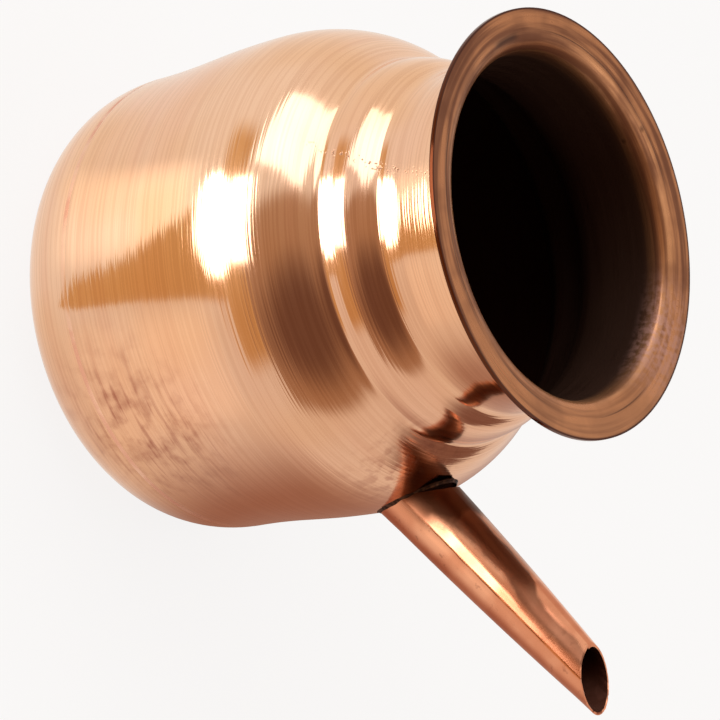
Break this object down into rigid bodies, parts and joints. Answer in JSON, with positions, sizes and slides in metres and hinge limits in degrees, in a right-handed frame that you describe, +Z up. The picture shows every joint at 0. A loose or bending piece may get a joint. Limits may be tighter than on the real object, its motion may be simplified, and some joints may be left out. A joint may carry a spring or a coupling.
{
  "type": "spouted lota",
  "caption": "Round copper water pot with a stepped shoulder, narrow neck, flared mouth and a straight tapering side spout, for carrying and pouring water.",
  "frame": {"origin": "centre of the flat that the pot stands on", "axes": "+Z up along the pot's own axis, +X towards the spout"},
  "size_m": [0.1494, 0.1024, 0.1103],
  "materials": {
    "base_copper": "polished copper with fine turning lines and red patina blotches",
    "heel_braze": "braze line filed flush, a little rosier than the sheet",
    "body_copper": "polished copper with fine turning lines, tarnished dark brown inside",
    "spout_copper": "glossy reddish copper with drawn marks along the tube",
    "spout_braze": "dull dark braze and flux stain"
  },
  "bodies": {
    "root": {"base_pan": "base_copper", "heel_solder": "heel_braze", "body_shell": "body_copper", "spout_tube": "spout_copper", "spout_solder": "spout_braze"}
  },
  "joints": []
}
